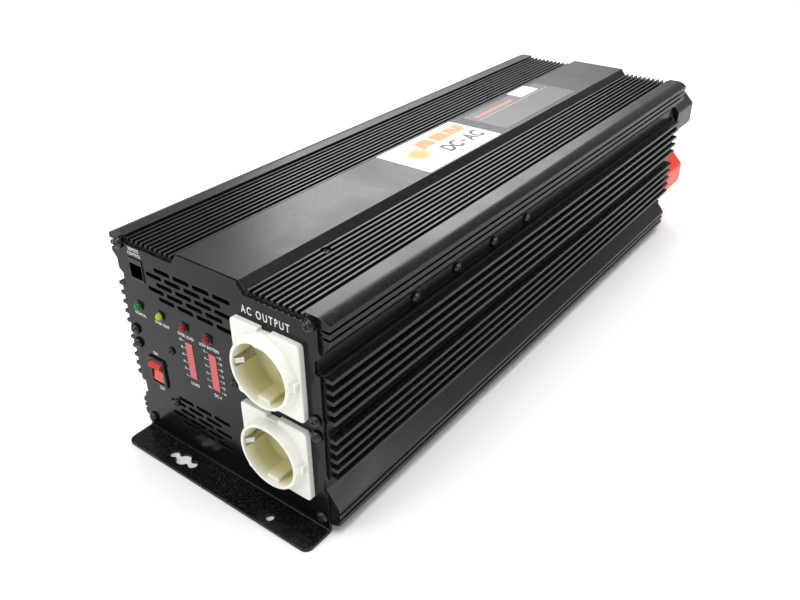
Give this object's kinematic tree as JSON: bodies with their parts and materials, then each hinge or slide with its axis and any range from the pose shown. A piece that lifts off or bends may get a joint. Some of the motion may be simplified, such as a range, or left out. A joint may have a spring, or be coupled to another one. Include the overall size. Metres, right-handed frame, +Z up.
{
  "type": "power inverter",
  "caption": "Long finned black power inverter with two earthed mains sockets, lamps, bar displays, a rocker switch, cooling fans and capped battery studs.",
  "frame": {"origin": "middle of the case on the plane that its two feet stand on, which is the middle of the fixing holes", "axes": "+X to the right seen from the sockets, +Y back to the battery end along the case, +Z up"},
  "size_m": [0.1734, 0.5634, 0.1502],
  "materials": {
    "black_anodised": "satin black anodised aluminium extrusion",
    "black_panel": "semi-gloss black powder coat on sheet steel",
    "black_screw": "black oxide steel",
    "steel": "zinc plated steel",
    "brass": "brass",
    "copper": "copper",
    "ivory_plastic": "ivory moulded thermoplastic",
    "black_plastic": "black moulded plastic",
    "black_cap": "black moulded terminal cap",
    "red_cap": "red moulded terminal cap",
    "rocker_red": "orange-red rocker",
    "lamp_green": "green lamp lens",
    "lamp_yellow": "yellow lamp lens",
    "lamp_red": "red lamp lens",
    "window_red": "red display window",
    "pcb_green": "solder-masked circuit board",
    "ferrite": "ferrite core",
    "winding": "taped winding",
    "can_blue": "sleeved capacitor",
    "aluminium": "plain aluminium",
    "wire_red": "insulated lead",
    "wire_black": "insulated lead",
    "fuse_plastic": "blade fuse body",
    "white_label": "white printed label",
    "black_label": "black printed label"
  },
  "bodies": {
    "root": {"bar_displays": "black_plastic", "bar_windows": "window_red", "board_screws": "steel", "board_standoffs": "brass", "bottom_shell": "black_anodised", "choke_core": "ferrite", "choke_winding": "copper", "display_board": "pcb_green", "display_screws": "black_screw", "display_spacers": "brass", "earth_clips": "steel", "fan_guards": "steel", "fan_leads": "wire_red", "fan_screws": "steel", "fault_led": "lamp_red", "front_panel": "black_panel", "fuses": "fuse_plastic", "green_led": "lamp_green", "ground_terminal": "steel", "input_capacitors": "can_blue", "jack_contacts": "brass", "led_holders": "black_plastic", "lower_fan_frame": "black_plastic", "lower_socket": "ivory_plastic", "main_board": "pcb_green", "name_label": "white_label", "negative_bus_bar": "copper", "negative_terminal_base": "black_plastic", "output_capacitors": "can_blue", "panel_screws": "black_screw", "positive_bus_bar": "copper", "positive_terminal_base": "black_plastic", "rating_label": "black_label", "rear_panel": "black_panel", "red_led": "lamp_red", "remote_jack": "black_plastic", "rib_screw": "black_screw", "side_clamp_screws": "black_screw", "socket_contacts": "brass", "socket_leads": "wire_black", "socket_retainers": "black_plastic", "switch_body": "black_plastic", "switch_leads": "wire_red", "switch_tabs": "brass", "terminal_studs": "brass", "top_shell": "black_anodised", "transformer_cores": "ferrite", "transformer_windings": "winding", "transistor_clamps": "aluminium", "transistors": "black_plastic", "upper_boards": "pcb_green", "upper_fan_frame": "black_plastic", "upper_socket": "ivory_plastic", "yellow_led": "lamp_yellow"},
    "switch_rocker_body": {"switch_rocker": "rocker_red"},
    "upper_rotor": {"upper_fan_rotor": "black_plastic"},
    "lower_rotor": {"lower_fan_rotor": "black_plastic"},
    "positive_cap": {"positive_terminal_cap": "red_cap"},
    "negative_cap": {"negative_terminal_cap": "black_cap"}
  },
  "joints": [
    {"name": "power_switch", "type": "hinge", "parent": "root", "child": "switch_rocker_body", "pos_m": [-0.0597, -0.2453, 0.0552], "axis": [-1, 0, 0], "range_deg": [0, 24]},
    {"name": "upper_fan", "type": "hinge", "parent": "root", "child": "upper_rotor", "pos_m": [-0.034, 0.2335, 0.1075], "axis": [0, 1, 0], "continuous": true},
    {"name": "lower_fan", "type": "hinge", "parent": "root", "child": "lower_rotor", "pos_m": [-0.034, 0.2335, 0.0455], "axis": [0, 1, 0], "continuous": true},
    {"name": "positive_cap_turn", "type": "hinge", "parent": "root", "child": "positive_cap", "pos_m": [0.06, 0.2535, 0.0455], "axis": [0, 1, 0], "continuous": true},
    {"name": "negative_cap_turn", "type": "hinge", "parent": "root", "child": "negative_cap", "pos_m": [0.06, 0.2535, 0.1075], "axis": [0, 1, 0], "continuous": true}
  ]
}
